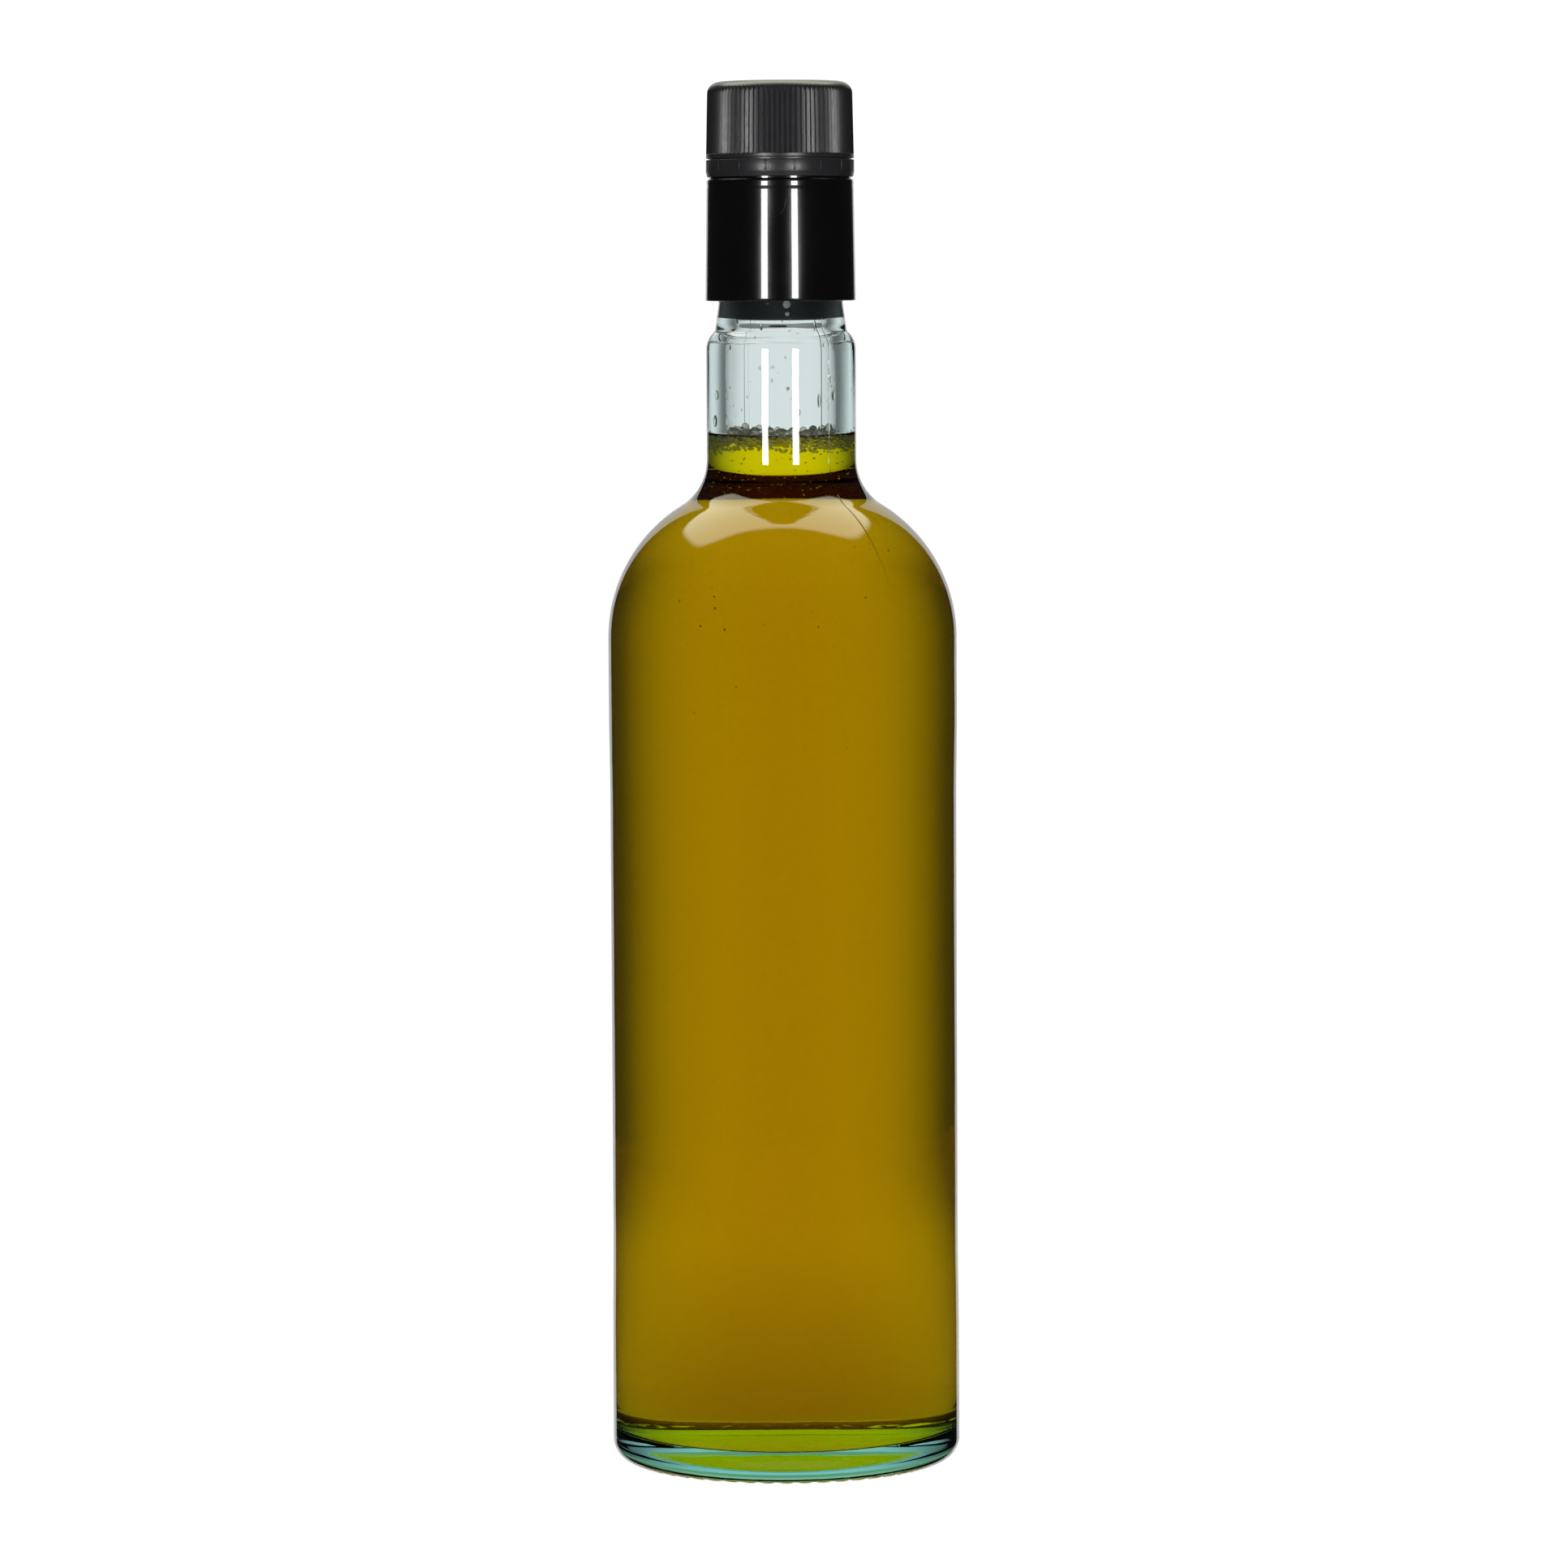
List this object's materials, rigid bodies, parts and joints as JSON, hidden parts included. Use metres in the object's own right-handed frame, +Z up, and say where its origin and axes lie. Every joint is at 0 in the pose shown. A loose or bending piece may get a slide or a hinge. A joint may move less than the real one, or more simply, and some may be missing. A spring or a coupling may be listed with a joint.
{
  "type": "olive oil bottle",
  "caption": "Round glass oil bottle, filled, with a screw cap, tamper band, glossy neck sleeve, drip-free spout and a non-return ball valve in its neck.",
  "frame": {"origin": "centre of the ring that the bottle stands on, at bench level", "axes": "+Z up along the bottle's axis, -Y the side that faces the viewer, +X the viewer's right"},
  "size_m": [0.076, 0.076, 0.3009],
  "materials": {
    "clear_glass": "clear soda-lime glass with a faint blue-green cast, fire-polished",
    "olive_oil": "clear golden-green olive oil",
    "gloss_black": "moulded black polypropylene, polished",
    "satin_black": "moulded black polypropylene, fine satin",
    "natural_plastic": "natural milky polyethylene",
    "soft_seal": "soft foamed polyethylene",
    "ball_glass": "clear glass ball"
  },
  "bodies": {
    "bottle": {"bottle_glass": "clear_glass", "oil_fill": "olive_oil", "outer_sleeve": "gloss_black", "neck_gasket": "soft_seal", "pour_fitment": "satin_black", "drip_free_spout": "natural_plastic", "valve_cage": "satin_black", "flow_guide": "natural_plastic"},
    "liner": {"cap_liner": "soft_seal"},
    "cap": {"screw_cap": "satin_black"},
    "band": {"tamper_band": "satin_black"},
    "valve": {"valve_disc": "natural_plastic"},
    "ball": {"valve_ball": "ball_glass"}
  },
  "joints": [
    {"name": "cap_lift", "type": "slide", "parent": "bottle", "child": "liner", "axis": [0, 0, 1], "range_m": [0, 0.00701]},
    {"name": "cap_turn", "type": "hinge", "parent": "liner", "child": "cap", "pos_m": [0, 0, 0.2926], "axis": [0, 0, 1], "range_deg": [0, 630]},
    {"name": "band_drop", "type": "slide", "parent": "bottle", "child": "band", "axis": [0, 0, 1], "range_m": [-0.0003, 0]},
    {"name": "valve_rise", "type": "slide", "parent": "bottle", "child": "valve", "axis": [0, 0, 1], "range_m": [0, 0.0025]},
    {"name": "ball_rise", "type": "slide", "parent": "valve", "child": "ball", "axis": [0, 0, 1], "range_m": [0, 0.003]}
  ],
  "couplings": [
    {"joint": "cap_lift", "follows": "cap_turn", "m_per_rad": 0.00063662}
  ]
}
